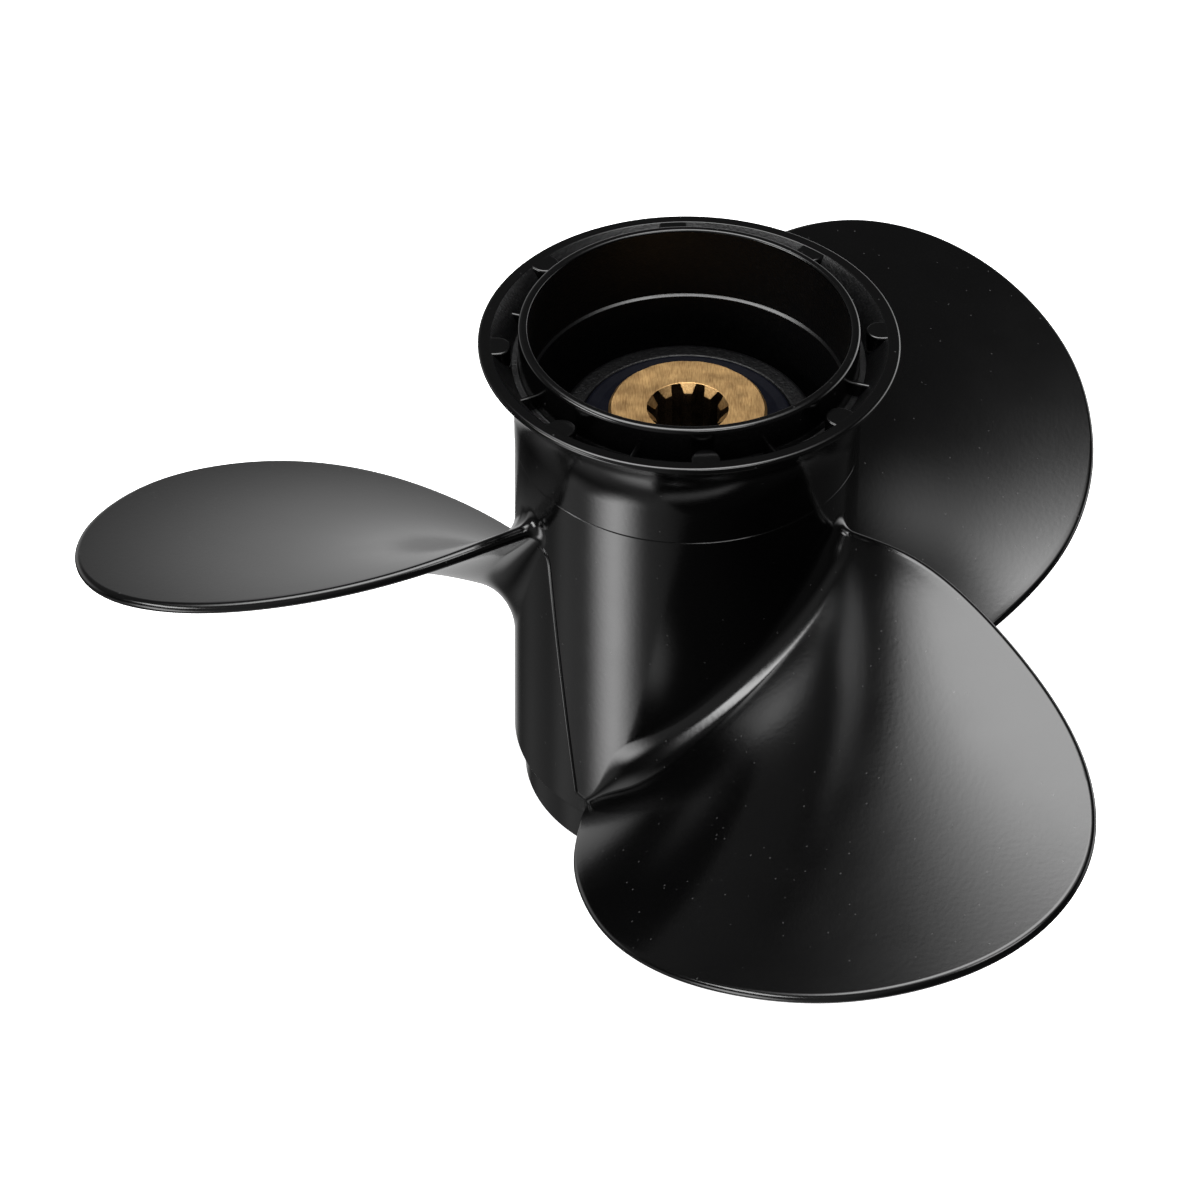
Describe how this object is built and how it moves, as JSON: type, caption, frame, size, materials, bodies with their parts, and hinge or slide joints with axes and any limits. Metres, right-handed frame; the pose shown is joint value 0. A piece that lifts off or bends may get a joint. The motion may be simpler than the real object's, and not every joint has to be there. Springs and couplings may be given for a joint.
{
  "type": "boat propeller",
  "caption": "Right-hand outboard propeller with broad skewed blades on a through-hub-exhaust barrel, a flared aft ring, and a splined bronze sleeve in a rubber cushion bush.",
  "frame": {"origin": "on the shaft axis at the sleeve's forward face, where the thrust washer seats", "axes": "+Z runs aft along the shaft, out of the flared exhaust end; the blades are placed about +Z with blade_1's tip 62 degrees clockwise of +X seen from aft"},
  "size_m": [0.2009, 0.2135, 0.108],
  "materials": {
    "painted_casting": "satin black paint over a die casting, with fine orange peel and polished edges",
    "cushion_rubber": "dark blue-black moulded rubber",
    "bronze": "turned bronze, dull, with broached spline teeth"
  },
  "bodies": {
    "sleeve": {"splined_sleeve": "bronze", "cushion_bush": "cushion_rubber"},
    "casting": {"front_collar": "painted_casting", "barrel": "painted_casting", "aft_tube": "painted_casting", "diffuser_flare": "painted_casting", "flange_pads": "painted_casting", "flange_ribs": "painted_casting", "inner_hub": "painted_casting", "blade_1": "painted_casting", "hub_web_1": "painted_casting", "parting_ridge_1": "painted_casting", "blade_2": "painted_casting", "hub_web_2": "painted_casting", "parting_ridge_2": "painted_casting", "blade_3": "painted_casting", "hub_web_3": "painted_casting", "parting_ridge_3": "painted_casting"}
  },
  "joints": [
    {"name": "cushion_twist", "type": "hinge", "parent": "sleeve", "child": "casting", "pos_m": [0, 0, 0.033], "axis": [0, 0, 1], "range_deg": [-10, 10], "stiffness_Nm_per_rad": 383}
  ]
}
